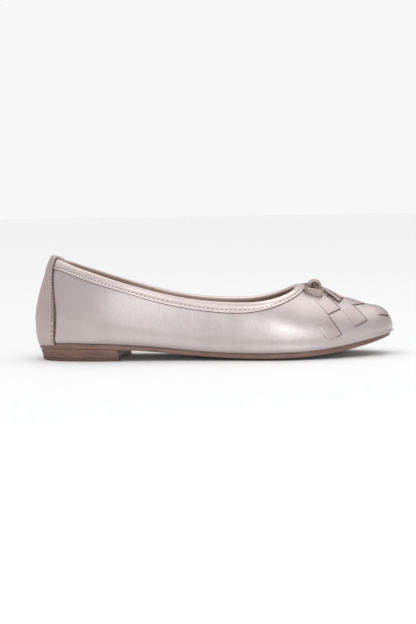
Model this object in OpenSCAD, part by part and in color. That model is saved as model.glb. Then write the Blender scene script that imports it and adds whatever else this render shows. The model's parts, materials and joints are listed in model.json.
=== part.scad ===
// Ballet flat, right foot, millimetres.
// +X points to the toe, +Y to the inner (medial) side, +Z up. The origin is on the
// ground, under the middle of the shoe. Every layer of the upper is the same last
// surface at its own depth, so the layers nest as they do on the real shoe.

/* [Shoe] */
// Overall length from the counter to the toe
shoe_l = 252; // [228:2:276]
// Width factor, 1 is a standard fitting
fitting = 1; // [0.94:0.01:1.06]
// Height factor of the vamp and the quarters
upper_h = 1; // [0.96:0.01:1.05]

/* [Upper] */
// Thickness of the outer leather
leather_t = 1.2; // [0.9:0.1:1.3]
// Thickness of the toe puff, interlining and counter
stiffener_t = 0.5; // [0.3:0.1:0.6]
// Thickness of the lining leather
lining_t = 0.8; // [0.5:0.1:0.9]
// Thickness of the topline binding
binding_t = 0.8; // [0.5:0.1:0.9]
// Width of the leather turned under the foot
lasting_w = 12; // [8:1:14]

/* [Toe weave] */
// Thickness of a woven strip
strip_t = 0.6; // [0.4:0.1:0.6]
// Half diagonal of one cell along the shoe
cell_along = 9.3; // [8:0.1:10]
// Half diagonal of one cell across the shoe
cell_across = 9.6; // [8:0.1:10]

/* [Bottom] */
// Thickness of the outsole under the ball
sole_t = 3.4; // [2.6:0.1:3.6]
// Thickness of the rubber top piece under the heel
top_piece_t = 2.6; // [2:0.1:3]
// Thickness of the insole board
insole_t = 2; // [1.5:0.1:2.2]
// Thickness of the insock
insock_t = 1; // [0.8:0.1:1.4]
// Thickness of the foam heel pad
pad_t = 2; // [1:0.1:3]
// Width of the steel shank
shank_w = 13; // [9:1:15]

/* [Bow] */
// Width of the bow tape
tape_w = 7.5; // [6:0.5:8]
// Thickness of the bow tape
tape_t = 1.3; // [1:0.1:1.5]
// How far each loop stands out from the knot
loop_reach = 17; // [13:1:19]

/* [Stitching] */
// Distance from one stitch to the next
stitch_pitch = 3; // [2.4:0.1:4]
// Diameter of the thread
thread_d = 0.5; // [0.4:0.05:0.6]

/* [Hidden] */

k = shoe_l / 252;

// Outline and profile curves: [share of the length from the heel, millimetres]
LATERAL = [[0, 50], [.1, 41.5], [.2, 35.8], [.35, 31], [.5, 33.5], [.6, 38.5], [.7, 43.5],
           [.8, 44], [.9, 42], [1, 43]];
MEDIAL = [[0, 50], [.1, 41.5], [.2, 35.2], [.35, 27.2], [.5, 28], [.6, 34], [.7, 40.5],
          [.8, 43.5], [.9, 43], [1, 44]];
SPINE = [[0, 0], [.3, 0], [.7, 1], [1, 4]];
FEATHER = [[0, 11.2], [.06, 12], [.1, 12.2], [.16, 11.9], [.25, 10.9], [.36, 8.7], [.42, 7.1],
           [.49, 5.7], [.57, 4.9], [.68, 4.9], [.75, 5.5], [.82, 7.2], [.886, 9.8], [.93, 12],
           [.96, 13.8], [1, 16.2]];
RIDGE = [[0, 84], [.2, 84], [.4, 78], [.55, 66], [.65, 56.5], [.73, 50.2], [.78, 48.8],
         [.82, 47.2], [.86, 45], [.9, 43.2], [.93, 43.2], [.96, 45.4], [.985, 47.5], [1, 48]];
BULGE = [[0, 18], [.1, 17], [.25, 14], [.4, 12], [.6, 10], [.8, 8], [.9, 6.5], [.96, 4.5],
         [1, 2.6]];
TUCK = [[0, 2.8], [.2, 3], [.5, 2.6], [.8, 2.4], [.95, 1.4], [1, 0]];
ARCH = [[0, 1.45], [.06, 1.45], [.12, 1.65], [.25, 2.2], [.5, 2.3], [.7, 2.15], [.85, 2], [1, 2]];
TOPLINE = [[0, 72.4], [.045, 71.2], [.087, 67.6], [.12, 64.4], [.16, 60.9], [.222, 55.7],
           [.291, 50.4], [.36, 45.7], [.43, 42.1], [.498, 40], [.56, 39.2], [.619, 39.6],
           [.66, 41.4], [.69, 43.6], [.712, 45.9], [.728, 48.3], [.742, 51]];
BAND = [[0, 64.8], [.067, 62.8], [.16, 54.8], [.269, 46.1], [.337, 40.8], [.405, 36.8],
        [.473, 34], [.54, 32.5], [.608, 33.3], [.69, 39.2], [.739, 45.6], [.764, 51]];
SOLE_T = [[0, 1], [.3, .91], [.45, .9], [.57, .97], [.64, 1], [.75, 1], [.88, .94], [.95, .82],
          [1, .7]];
TREAD_DIP = [[0, 0], [.35, 0], [.6, 1.45], [.72, 1.35], [.95, 0], [1, 0]];

// Depths of the layers below the outer face of the upper
puff_d = leather_t + strip_t + 0.15;
lining_d = puff_d + stiffener_t + 0.1;
inner_d = lining_d + lining_t;
board_z = inner_d + 0.1;
insock_z = board_z + insole_t + 0.05;

heel_hub = 30 * k;
tip_rise = 2.6;
rear_cols = 22;
front_cols = 14;
arch_rows = 7;
throat = throat_angle(TOPLINE, 100, 140, 24);
band_end = throat_angle(BAND, 100, 140, 24);
lifts = 3;
breast_s = 0.2255;
breast_skew = 6 * k;

// ---- Curves ------------------------------------------------------------------

function rise(p, i) = (p[i + 1][1] - p[i][1]) / (p[i + 1][0] - p[i][0]);
function tangent(p, i) =
    i == 0 ? rise(p, 0)
  : i == len(p) - 1 ? rise(p, i - 1)
  : let(a = p[i][0] - p[i - 1][0], b = p[i + 1][0] - p[i][0])
    (rise(p, i - 1) * b + rise(p, i) * a) / (a + b);
function span(p, x, i = 0) = i >= len(p) - 2 || x <= p[i + 1][0] ? i : span(p, x, i + 1);
function curve(p, share) =
    let(x = min(max(share, p[0][0]), p[len(p) - 1][0]),
        i = span(p, x),
        h = p[i + 1][0] - p[i][0],
        t = (x - p[i][0]) / h)
    (1 + 2 * t) * (1 - t) * (1 - t) * p[i][1] + t * (1 - t) * (1 - t) * h * tangent(p, i)
    + t * t * (3 - 2 * t) * p[i + 1][1] + t * t * (t - 1) * h * tangent(p, i + 1);
function blend(a, b, t) = a + (b - a) * t;
function unit(v) = v / norm(v);

// ---- The last: a point for a column angle, a side, a height share and a depth ----

// Where a column meets the outline, inset by the depth d
function foot(a, side, d) =
    let(s = (1 - cos(a)) / 2,
        w = k * fitting * curve(side < 0 ? LATERAL : MEDIAL, s) - d)
    [shoe_l / 2 - (shoe_l / 2 - d) * cos(a), k * curve(SPINE, s) + side * sin(a) * w];
// The line that a column leans towards: the middle line, with a fan around the heel
function hub(x, y) = [x > 100 * k ? x : heel_hub + (x - heel_hub + norm([x - heel_hub, 8])) / 2, y];

function tip(a) = a > 90 ? 1 - sin(a) : 0;
function feather(s) = k * curve(FEATHER, s);
function equator(s, a, d) = k * curve(BULGE, s) + 0.9 * d * tip(a);
function crown(s, a, d) =
    (1 - tip(a)) * (k * upper_h * curve(RIDGE, s) - d) + tip(a) * (tip_rise * k + 0.9 * d);

// t from -1 (edge of the sole) through 0 (widest line) to 1 (middle of the vamp)
function last(a, side, t, d) =
    let(f = foot(a, side, d),
        c = hub(f[0], k * curve(SPINE, (1 - cos(a)) / 2)),
        s = f[0] / shoe_l,
        w = norm(f - c),
        n = curve(ARCH, s),
        q = equator(s, a, d),
        tuck = min(k * curve(TUCK, s), 0.3 * w),
        r = t <= 0 ? w - tuck * (1 - cos(90 * t)) : w * pow(max(cos(90 * t), 0), 2 / n),
        z = t <= 0 ? d + (q - d) * (1 - sin(-90 * t))
          : q + (crown(s, a, d) - q) * pow(sin(90 * t), 2 / n),
        p = w > 0.001 ? c + (f - c) * (r / w) : f)
    [p[0] - shoe_l / 2, p[1], feather(s) + z];

// Height share at which a column meets a side profile
function meet(a, side, d, profile, drop = 0, t = 1, i = 4) =
    i == 0 ? t
  : let(f = foot(a, side, d),
        s = f[0] / shoe_l,
        x = last(a, side, t, d)[0] / shoe_l + 0.5,
        q = equator(s, a, d),
        u = (k * upper_h * curve(profile, x) - drop - feather(s) - q) / (crown(s, a, d) - q))
    meet(a, side, d, profile, drop, u >= 1 ? 1 : asin(pow(max(u, 0), curve(ARCH, s) / 2)) / 90, i - 1);
// Column angle at which a side profile reaches the middle of the vamp
function throat_angle(profile, lo, hi, i) =
    let(a = (lo + hi) / 2)
    i == 0 ? a
  : meet(a, -1, 0, profile) >= 1 && meet(a, 1, 0, profile) >= 1 ? throat_angle(profile, lo, a, i - 1)
  : throat_angle(profile, a, hi, i - 1);

// Height of the vamp above a point of the plan
function vamp_z(x, y, d = 0) =
    let(s = x / shoe_l + 0.5,
        a = acos(1 - 2 * s),
        side = y < k * curve(SPINE, s) ? -1 : 1,
        w = norm(foot(a, side, d) - [x + shoe_l / 2, k * curve(SPINE, s)]),
        n = curve(ARCH, s),
        q = equator(s, a, d),
        c = min(abs(y - k * curve(SPINE, s)) / w, 1))
    feather(s) + q + (crown(s, a, d) - q) * pow(1 - pow(c, n), 1 / n);

// ---- Columns ------------------------------------------------------------------

rear_angles = [for (i = [0:rear_cols]) throat * sin(90 * i / rear_cols)];
front_angles = [for (i = [1:front_cols]) blend(throat, 180, i / front_cols)];
angles = concat(rear_angles, front_angles);
count = len(angles);

// Columns from side to side: through the toe, or round the heel
function through_toe(list) =
    let(n = len(list))
    concat([for (i = [0:n - 1]) [-1, list[i]]], [for (i = [n - 2:-1:0]) [1, list[i]]]);
function round_heel(list) =
    let(n = len(list))
    concat([for (i = [n - 1:-1:0]) [1, list[i]]], [for (i = [1:n - 1]) [-1, list[i]]]);
ring = [for (i = [0:2 * count - 3]) i < count ? [-1, angles[i]] : [1, angles[2 * count - 2 - i]]];

// ---- Solids from nets of points -------------------------------------------------

function keep(f) = [for (i = [0:len(f) - 1]) if (f[i] != f[(i + 1) % len(f)]) f[i]];
function tidy(faces) = [for (f = faces) let(g = keep(f)) if (len(g) > 2) g];
function split(a, b, c, d) = [[a, b, c], [a, c, d]];
function flat_list(lists) = [for (l = lists) each l];

// A layer: rows of points on an outer and an inner face, closed round their edges.
// Where joined, the last row lies on the middle line and both sides share its point;
// at the toe column the rows above toe_row meet in one point.
module layer(outer, inner, closed = false, joined = [], toe = -1, toe_row = 0) {
    cols = len(outer);
    rows = len(outer[0]);
    last_col = closed ? cols - 1 : cols - 2;
    function on_middle(c) = len(joined) > 0 && joined[c % cols];
    function id(c, j, face) =
        let(cc = c % cols,
            m = j == rows - 1 && on_middle(cc) && cc > toe ? 2 * toe - cc : cc,
            jj = m == toe ? min(j, toe_row) : j)
        (face * cols + m) * rows + jj;
    faces = [
        for (c = [0:last_col])
            for (j = [0:rows - 2])
                each concat(
                    split(id(c, j, 0), id(c, j + 1, 0), id(c + 1, j + 1, 0), id(c + 1, j, 0)),
                    split(id(c, j, 1), id(c + 1, j, 1), id(c + 1, j + 1, 1), id(c, j + 1, 1)))
    ];
    low_edge = [
        for (c = [0:last_col])
            each split(id(c, 0, 0), id(c + 1, 0, 0), id(c + 1, 0, 1), id(c, 0, 1))
    ];
    r = rows - 1;
    high_edge = [
        for (c = [0:last_col])
            if (!(on_middle(c) && on_middle(c + 1)))
                each split(id(c, r, 1), id(c + 1, r, 1), id(c + 1, r, 0), id(c, r, 0))
    ];
    e = cols - 1;
    ends = closed ? [] : [
        for (j = [0:rows - 2])
            each concat(
                split(id(0, j, 0), id(0, j, 1), id(0, j + 1, 1), id(0, j + 1, 0)),
                split(id(e, j, 0), id(e, j + 1, 0), id(e, j + 1, 1), id(e, j, 1)))
    ];
    polyhedron(points = concat(flat_list(outer), flat_list(inner)),
               faces = tidy(concat(faces, low_edge, high_edge, ends)));
}

// A slab: a net of points with its top and bottom face, whose end columns may be points
module slab(top, bottom) {
    cols = len(top);
    rows = len(top[0]);
    function is_point(c) = norm(top[c][0] - top[c][rows - 1]) < 0.01;
    function id(c, j, face) = (face * cols + c) * rows + (is_point(c) ? 0 : j);
    e = cols - 1;
    r = rows - 1;
    faces = [
        for (c = [0:cols - 2])
            for (j = [0:rows - 2])
                each concat(
                    split(id(c, j, 0), id(c, j + 1, 0), id(c + 1, j + 1, 0), id(c + 1, j, 0)),
                    split(id(c, j, 1), id(c + 1, j, 1), id(c + 1, j + 1, 1), id(c, j + 1, 1)))
    ];
    sides = [
        for (c = [0:cols - 2])
            each concat(
                split(id(c, 0, 0), id(c + 1, 0, 0), id(c + 1, 0, 1), id(c, 0, 1)),
                split(id(c, r, 1), id(c + 1, r, 1), id(c + 1, r, 0), id(c, r, 0)))
    ];
    ends = [
        for (j = [0:rows - 2])
            each concat(
                is_point(0) ? [] : split(id(0, j, 0), id(0, j, 1), id(0, j + 1, 1), id(0, j + 1, 0)),
                is_point(e) ? [] : split(id(e, j, 0), id(e, j + 1, 0), id(e, j + 1, 1), id(e, j, 1)))
    ];
    polyhedron(points = concat(flat_list(top), flat_list(bottom)),
               faces = tidy(concat(faces, sides, ends)));
}

// ---- Nets on the last -----------------------------------------------------------

function rim(a, side) = meet(a, side, 0, TOPLINE);
function band(a, side) = meet(a, side, 0, BAND);

// The leather turned under the foot ends in a row inset by the lasting margin
function margin(a, side, d, w) =
    let(f = foot(a, side, d + w), s = f[0] / shoe_l, full = norm(foot(a, side, 0) - [f[0], f[1]]))
    [f[0] - shoe_l / 2, f[1], feather(s) + d - dip(s, 1 - full / max(half_width(s), 1))];
function half_width(s) = let(a = acos(1 - 2 * s)) sin(a) * k * fitting * curve(LATERAL, s);
function dip(s, f) = k * curve(TREAD_DIP, s) * (1 - f * f);

function shares(low, high) =
    concat([low, low / 2, 0], [for (j = [1:arch_rows]) high * j / arch_rows]);
function wall_net(cols, d, low, drop = 0) = [
    for (c = cols)
        let(high = meet(c[1], c[0], 0, TOPLINE, drop))
        [for (t = shares(low, high)) last(c[1], c[0], t, d)]
];
function lasted_net(cols, d, w) = [
    for (c = cols)
        concat([margin(c[1], c[0], d, w)],
               [for (t = shares(-1, rim(c[1], c[0]))) last(c[1], c[0], t, d)])
];
function middle(cols, drop = 0) = [for (c = cols) meet(c[1], c[0], 0, TOPLINE, drop) >= 0.9999];

// A rung across the bottom between the two outlines, f from -1 (outer) to 1 (inner)
function rung(a_out, a_in, inset, f) = blend(foot(a_out, -1, inset), foot(a_in, 1, inset), (f + 1) / 2);
RUNGS = [-1, -0.5, 0, 0.5, 1];
// A net across the bottom at height z above the feather line
function bottom_net(list, inset, z, dips = 0) = [
    for (a = list)
        [for (f = RUNGS)
            let(p = rung(a, a, inset, f), s = p[0] / shoe_l)
            [p[0] - shoe_l / 2, p[1], feather(s) + z - dips * dip(s, f)]]
];
function between(lo, hi) = concat([lo], [for (a = angles) if (a > lo + 1 && a < hi - 1) a], [hi]);
function angle_at(s) = acos(1 - 2 * s);

// ---- Upper ------------------------------------------------------------------------

leather = [0.86, 0.81, 0.81];
shaded = [0.72, 0.65, 0.64];
brown = [0.49, 0.38, 0.33];
lining_c = [0.62, 0.53, 0.48];

module upper_leather() {
    color(leather)
        layer(lasted_net(ring, 0, lasting_w), lasted_net(ring, leather_t, lasting_w), true,
              middle(ring), count - 1, 3);
}

vamp_from = 14;
module vamp_lining() {
    cols = through_toe([for (i = [vamp_from:count - 1]) angles[i] + (i == vamp_from ? 0.3 : 0)]);
    color(lining_c)
        layer(lasted_net(cols, lining_d, lasting_w - 3), lasted_net(cols, inner_d, lasting_w - 3),
              false, middle(cols), count - 1 - vamp_from, 3);
}
module quarter_lining() {
    cols = round_heel([for (i = [0:vamp_from]) angles[i]]);
    color(lining_c)
        layer(lasted_net(cols, lining_d, lasting_w - 3), lasted_net(cols, inner_d, lasting_w - 3));
}

puff_from = 5;
module toe_puff() {
    first = rear_cols + puff_from;
    list = [for (i = [first:count - 1]) angles[i] + (i == first ? 0.5 : 0)];
    cols = through_toe(list);
    color("tan")
        layer(wall_net(cols, puff_d, -0.8), wall_net(cols, puff_d + stiffener_t, -0.8),
              false, middle(cols), len(list) - 1, 2);
}
module vamp_interlining() {
    list = [for (i = [vamp_from + 1:rear_cols + puff_from]) angles[i]];
    color("wheat")
        for (side = [-1, 1]) {
            half = [for (a = list) [side, a]];
            outer = band_net(half, puff_d);
            inner = band_net(half, puff_d + stiffener_t);
            layer(side < 0 ? outer : inner, side < 0 ? inner : outer);
        }
}
function band_net(cols, d) = [
    for (c = cols)
        let(high = min(band(c[1], c[0]) - 0.01, 0.985))
        [for (t = shares(-0.8, high)) last(c[1], c[0], t, d)]
];
module heel_counter() {
    cols = round_heel([for (i = [0:7]) angles[i]]);
    color("burlywood")
        layer(wall_net(cols, leather_t + 0.05, -0.8, 10),
              wall_net(cols, puff_d + stiffener_t, -0.8, 10));
}

// The binding: a folded tape over the topline, with a short inner leg on the lining
bind_out = -0.05;
bind_in = inner_d + 0.05;
bind_leg = [0, 0.15, 0.3];
function tape_point(u, side, w, d) =
    let(a = throat * sin(90 * u), b = band_end * sin(90 * u))
    last(blend(a, b, w), side, blend(rim(a, side), band(b, side), w), d);
function up_at(u, side, d) = unit(tape_point(u, side, 0, d) - tape_point(u, side, 1, d));
function tape_ring(u, side, d_out, d_in, w_out, w_in, lift) =
    let(up = up_at(u, side, inner_d / 2))
    concat([for (w = w_out) tape_point(u, side, w, d_out)],
           [tape_point(u, side, 0, blend(d_out, d_in, 0.2)) + lift * up,
            tape_point(u, side, 0, blend(d_out, d_in, 0.8)) + lift * up],
           [for (w = w_in) tape_point(u, side, w, d_in)]);
tape_cols = concat([for (i = [0:rear_cols]) [-1, i / rear_cols]],
                   [for (i = [rear_cols - 1:-1:1]) [1, i / rear_cols]]);
module topline_binding() {
    outer = [for (c = tape_cols)
        tape_ring(c[1], c[0], bind_out - binding_t, bind_in + binding_t, [1, 0.5, 0], bind_leg, 0.9)];
    inner = [for (c = tape_cols)
        tape_ring(c[1], c[0], bind_out, bind_in, [1, 0.5, 0], bind_leg, 0.1)];
    color([0.84, 0.78, 0.76])
        layer(outer, inner, true);
}

// The backstay: a leather panel over the back seam, folded over the binding
// Column angle of its front edge at each height share
PANEL_EDGE = [[-1, 27.3], [-.24, 28.8], [.09, 30], [.28, 26], [.42, 20.5], [.55, 21.3]];
panel_cols = round_heel([for (i = [0:4]) i / 4]);
function panel_wall(c, t, d) = last(c[1] * curve(PANEL_EDGE, t), c[0], t, d);
function panel_ring(c, low_d, high_d, in_d, lift) =
    let(r = rim(21 * c[1], c[0]), b = band(21 * c[1], c[0]),
        up = unit(panel_wall(c, r, 0) - panel_wall(c, b, 0)))
    concat([for (t = [-0.95, -0.5, 0, b / 3, 2 * b / 3, b - 0.03]) panel_wall(c, t, low_d)],
           [for (t = [b + 0.01, (b + r) / 2, r]) panel_wall(c, t, high_d)],
           [panel_wall(c, r, high_d * 0.6) + lift * up,
            panel_wall(c, r, blend(high_d, in_d, 0.8)) + lift * up],
           [for (t = [r, (b + r) / 2, b - 0.1]) panel_wall(c, t, in_d)]);
module heel_panel() {
    over = bind_out - binding_t - 0.1;
    inside = bind_in + binding_t + 0.1;
    color(shaded)
        layer([for (c = panel_cols) panel_ring(c, bind_out - 0.8, over - 0.8, inside + 0.8, 2)],
              [for (c = panel_cols) panel_ring(c, bind_out, over, inside, 1.15)]);
}

// ---- Woven toe ----------------------------------------------------------------------

// Strips run over odd cells and under even ones: [row, first over cell, last over cell]
STRIPS = [[0, -1, 3], [-1, 0, 4], [-2, 1, 5], [-3, 2, 4], [-4, 3, 3]];
weave_x = 77.8;
middle_cell = 3.65;

// Angle from the top of an elliptic arch at a length along it
function arch_angle(w, h, len, guess = 45, i = 4) =
    i == 0 ? guess
  : let(f = function(p) norm([w * cos(p), h * sin(p)]),
        mean = (f(0) + 4 * f(guess / 2) + f(guess)) / 6)
    arch_angle(w, h, len, len / mean * 180 / PI, i - 1);
// A point of the toe in cell coordinates, at a depth
function toe_point(i, j, d) =
    let(x = min(k * (weave_x + cell_along * (i + j)) + shoe_l / 2, shoe_l - 4),
        a = angle_at(x / shoe_l),
        len = k * cell_across * (middle_cell - (i - j)),
        side = len > 0 ? -1 : 1,
        w = foot(a, 1, 0)[1] - k * curve(SPINE, x / shoe_l),
        h = crown(x / shoe_l, a, 0) - equator(x / shoe_l, a, 0),
        p = arch_angle(w, h, abs(len)))
    last(a, side, max(1 - p / 90, -0.6), d);

// One run of a strip over or under the vamp, between two slits
module strip_run(j, from, to, d) {
    n = max(3, round((to - from) / 0.22));
    function row(i, depth) = [for (v = [0.96, 0.5, 0.04]) toe_point(i, j + v, depth)];
    steps = [for (m = [0:n]) blend(from, to, m / n)];
    slab([for (i = steps) row(i, d)], [for (i = steps) row(i, d + strip_t)]);
}
module weave_strip(n) {
    j = STRIPS[n - 1][0];
    first = STRIPS[n - 1][1];
    final = STRIPS[n - 1][2];
    gap = 0.03;
    under = leather_t + 0.07;
    color(shaded) {
        for (i = [first:2:final])
            strip_run(j, i + gap, i + 1 - gap, -0.06 - strip_t);
        strip_run(j, first - 0.4, first - gap, under);
        for (i = [first + 1:2:final - 1])
            strip_run(j, i + gap, i + 1 - gap, under);
        strip_run(j, final + 1 + gap, final + 1.4, under);
    }
}
module weave_strip_1() { weave_strip(1); }
module weave_strip_2() { weave_strip(2); }
module weave_strip_3() { weave_strip(3); }
module weave_strip_4() { weave_strip(4); }
module weave_strip_5() { weave_strip(5); }

// ---- Bottom ---------------------------------------------------------------------------

module bottom_slab(list, inset, low, high, dips_low = 0, dips_high = 0) {
    slab(bottom_net(list, inset, high, dips_high), bottom_net(list, inset, low, dips_low));
}
rivet_at = [0.19, 0.45];
module rivet_holes(d) {
    for (s = rivet_at)
        translate([(s - 0.5) * shoe_l, 0, feather(s) - 2])
            cylinder(d = d, h = 12, $fn = 24);
}
board_inset = inner_d + 3;
module insole_board() {
    color("peru")
        difference() {
            bottom_slab(angles, board_inset, board_z, board_z + insole_t);
            rivet_holes(3.2);
        }
}
shank_steps = [for (s = [0.13:0.03:0.52]) s];
module shank() {
    function line(s, y, z) = [(s - 0.5) * shoe_l, y * shank_w / 2, feather(s) + board_z - z];
    color("silver")
        difference() {
            slab([for (s = shank_steps) [for (y = [-1, 0, 1]) line(s, y, 0.1 + 0.2 * abs(y))]],
                 [for (s = shank_steps) [for (y = [-1, 0, 1]) line(s, y, 1.3 + 0.2 * abs(y))]]);
            rivet_holes(3.2);
        }
}
module shank_rivets() {
    color("gray")
        for (s = rivet_at)
            translate([(s - 0.5) * shoe_l, 0, feather(s) + board_z]) {
                translate([0, 0, -1.5])
                    cylinder(d = 3, h = insole_t + 1.3, $fn = 24);
                translate([0, 0, -2.4])
                    cylinder(d = 6, h = 0.9, $fn = 24);
            }
}
module bottom_filler() {
    color("sienna")
        bottom_slab(between(angle_at(0.53), angle_at(0.93)), lasting_w + 5, 0.15, inner_d - 0.2, 1, 0.6);
}
pad_end = 0.26;
module heel_pad() {
    list = concat([for (a = angles) if (a < angle_at(pad_end) - 2) a], [angle_at(pad_end)]);
    color("khaki")
        bottom_slab(list, board_inset + 1.5, insock_z, insock_z + pad_t);
}
// The insock lies on the board and steps up over the heel pad
function pad_step(s) = (pad_t + 0.05) * min(max((0.32 - s) / (0.31 - pad_end), 0), 1);
module insock() {
    list = [for (a = angles) if (a < angle_at(0.975)) a];
    function net(z) = [
        for (a = list)
            [for (f = RUNGS)
                let(p = rung(a, a, inner_d + 1, f), s = p[0] / shoe_l)
                [p[0] - shoe_l / 2, p[1], feather(s) + z + pad_step(s)]]];
    color(lining_c)
        slab(net(insock_z + insock_t), net(insock_z));
}
sole_inset = 1.8;
module outsole() {
    function net(z, t) = [
        for (a = angles)
            [for (f = RUNGS)
                let(p = rung(a, a, sole_inset, f), s = p[0] / shoe_l)
                [p[0] - shoe_l / 2, p[1], feather(s) - z - t * sole_t * curve(SOLE_T, s) - dip(s, f)]]];
    color(brown)
        slab(net(0.05, 0), net(0, 1));
}

// The heel: lifts under the outsole, ending in a slanted, slightly hollow breast
function heel_point(i, n, inset, f) =
    let(out = angle_at(breast_s) * i / n,
        in = angle_at(breast_s + breast_skew / shoe_l) * i / n,
        p = rung(out, in, inset, f),
        hollow = 1.6 * (1 - f * f) * pow(i / n, 4))
    [p[0] - shoe_l / 2 - hollow, p[1]];
heel_n = 10;
function heel_net(inset, z) = [
    for (i = [0:heel_n])
        [for (f = RUNGS)
            let(p = heel_point(i, heel_n, inset, f))
            [p[0], p[1], z]]];
function under_sole(inset) = [
    for (i = [0:heel_n])
        [for (f = RUNGS)
            let(p = heel_point(i, heel_n, inset, f), s = p[0] / shoe_l + 0.5)
            [p[0], p[1], feather(s) - sole_t * curve(SOLE_T, s) - 0.15]]];
stack_top = feather(0) - sole_t - 0.3;
function lift_z(n) = blend(stack_top, top_piece_t, n / lifts);
function lift_inset(z) = blend(4.6, 2.2, z / (stack_top + 1));
module heel_lift(n) {
    z0 = lift_z(n);
    color(brown)
        if (n == 1)
            slab(under_sole(lift_inset(stack_top)), heel_net(lift_inset(z0 + 0.4), z0));
        else
            slab(heel_net(lift_inset(lift_z(n - 1) + 0.4), lift_z(n - 1)),
                 heel_net(lift_inset(z0 + 0.4), z0));
}
module heel_lift_1() { heel_lift(1); }
module heel_lift_2() { heel_lift(2); }
module heel_lift_3() { heel_lift(3); }
module heel_top_piece() {
    inset = lift_inset(0);
    outline = concat([for (i = [0:heel_n]) heel_point(i, heel_n, inset, -1)],
                     [for (f = [-0.5, 0, 0.5]) heel_point(heel_n, heel_n, inset, f)],
                     [for (i = [heel_n:-1:1]) heel_point(i, heel_n, inset, 1)]);
    color([0.3, 0.24, 0.21])
        linear_extrude(top_piece_t)
            polygon(outline);
}

// ---- Stitching -------------------------------------------------------------------------

// One stitch: a flat-bottomed bar between two points, lifted along their normal
module stitch(p, q, up) {
    along = unit(q - p);
    across = unit(cross(up, along)) * thread_d / 2;
    function end(c) = [c - across, c + across];
    slab([end(p + up * thread_d), end(q + up * thread_d)], [end(p), end(q)]);
}
module binding_stitching() {
    steps = floor(PI * shoe_l * 0.31 / stitch_pitch);
    color("ivory")
        for (side = [-1, 1])
            for (i = [1:steps - 1]) {
                u = asin(i / steps) / 90;
                v = asin(min((i + 0.62) / steps, 1)) / 90;
                d = bind_out - binding_t;
                p = tape_point(u, side, 0.62, d - 0.12);
                q = tape_point(v, side, 0.62, d - 0.12);
                up = unit(tape_point(u, side, 0.62, d - 2) - p);
                stitch(p, q, up);
            }
}
module heel_panel_stitching() {
    steps = 13;
    color("ivory")
        for (side = [-1, 1])
            for (i = [1:steps]) {
                t = i / (steps + 2);
                b = band(20, side);
                c = [side, 0.9];
                d = bind_out - 0.92;
                p = panel_wall(c, t * b, d);
                stitch(p, panel_wall(c, (t + 0.045) * b, d), unit(panel_wall(c, t * b, d - 2) - p));
            }
}

// ---- Bow --------------------------------------------------------------------------------

bow_x = 70.5 * k;
// A tape swept along points: each step is [centre, direction across the tape, thickness way]
module tape(steps, width = tape_w) {
    function edge(s, u, v) = s[0] + s[1] * (u * width / 2) + s[2] * (v * tape_t / 2);
    layer([for (s = steps) [edge(s, -1, 1), edge(s, 1, 1)]],
          [for (s = steps) [edge(s, -1, -1), edge(s, 1, -1)]]);
}
// Slope of the vamp across the shoe at the bow, as the direction that climbs it
function bow_up(side) =
    let(a = vamp_z(bow_x, side * 6), b = vamp_z(bow_x, side * 14))
    unit([0.28, side * (a - b) / 8, 1]);
module bow_loop(side) {
    up = bow_up(side);
    out = unit([0.1, side, (vamp_z(bow_x, side * 16) - vamp_z(bow_x, side * 2)) / 14]);
    start = [bow_x, k * curve(SPINE, 0.78), vamp_z(bow_x, 0) + tape_w / 2 + 0.5];
    n = 14;
    steps = [for (i = [0:n])
        let(g = side * (300 * i / n - 150),
            reach = 5.2 + (loop_reach - 5.2) * (1 + cos(g)) / 2,
            p = start + out * reach + [sin(g) * 6.2, 0, 0],
            nrm = unit([sin(g) * 1.6, 0, 0] + out * cos(g)))
        [p, up, nrm]];
    tape(steps);
}
module bow_loops() {
    color(shaded) {
        bow_loop(-1);
        bow_loop(1);
    }
}
module bow_knot() {
    color(shaded)
        translate([bow_x, k * curve(SPINE, 0.78), vamp_z(bow_x, 0) + 0.6])
            hull()
                for (x = [-2.6, 2.6])
                    for (y = [-2, 2])
                        translate([x, y, 3.2 - 0.3 * x])
                            sphere(r = 2.8, $fn = 16);
}
// Each tail: start ahead of the bow, length, start to the side, drift to the outer side
TAILS = [[6.5, 11.5, -1.7, -9.6], [8, 8, -9.7, -6.3]];
module bow_tails() {
    n = 7;
    color(shaded)
        for (tail = TAILS) {
            steps = [for (i = [0:n])
                let(t = i / n,
                    x = bow_x + tail[0] + tail[1] * t,
                    y = k * (curve(SPINE, 0.8) + tail[2] + tail[3] * t),
                    g = (vamp_z(x, y + 1) - vamp_z(x, y - 1)) / 2,
                    up = unit([0.25, -g, 1]))
                [[x, y, vamp_z(x, y)] + up * (1.6 + 0.4 * sin(180 * t)),
                 -unit(cross(up, [tail[1], tail[3], 0])), up]];
            tape(steps, 3.5);
        }
}
module bow_tack_thread() {
    color("ivory")
        translate([bow_x, k * curve(SPINE, 0.78), vamp_z(bow_x, 0) - leather_t - 0.5])
            cylinder(d = 1, h = leather_t + 0.9, $fn = 16);
}

upper_leather();
heel_panel();
topline_binding();
vamp_lining();
quarter_lining();
vamp_interlining();
toe_puff();
heel_counter();
weave_strip_1();
weave_strip_2();
weave_strip_3();
weave_strip_4();
weave_strip_5();
insole_board();
shank();
shank_rivets();
bottom_filler();
insock();
heel_pad();
outsole();
heel_lift_1();
heel_lift_2();
heel_lift_3();
heel_top_piece();
binding_stitching();
heel_panel_stitching();
bow_loops();
bow_knot();
bow_tails();
bow_tack_thread();
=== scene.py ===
import json
import math

import bmesh
import bpy
import numpy as np
from mathutils import Matrix, Vector

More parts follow.
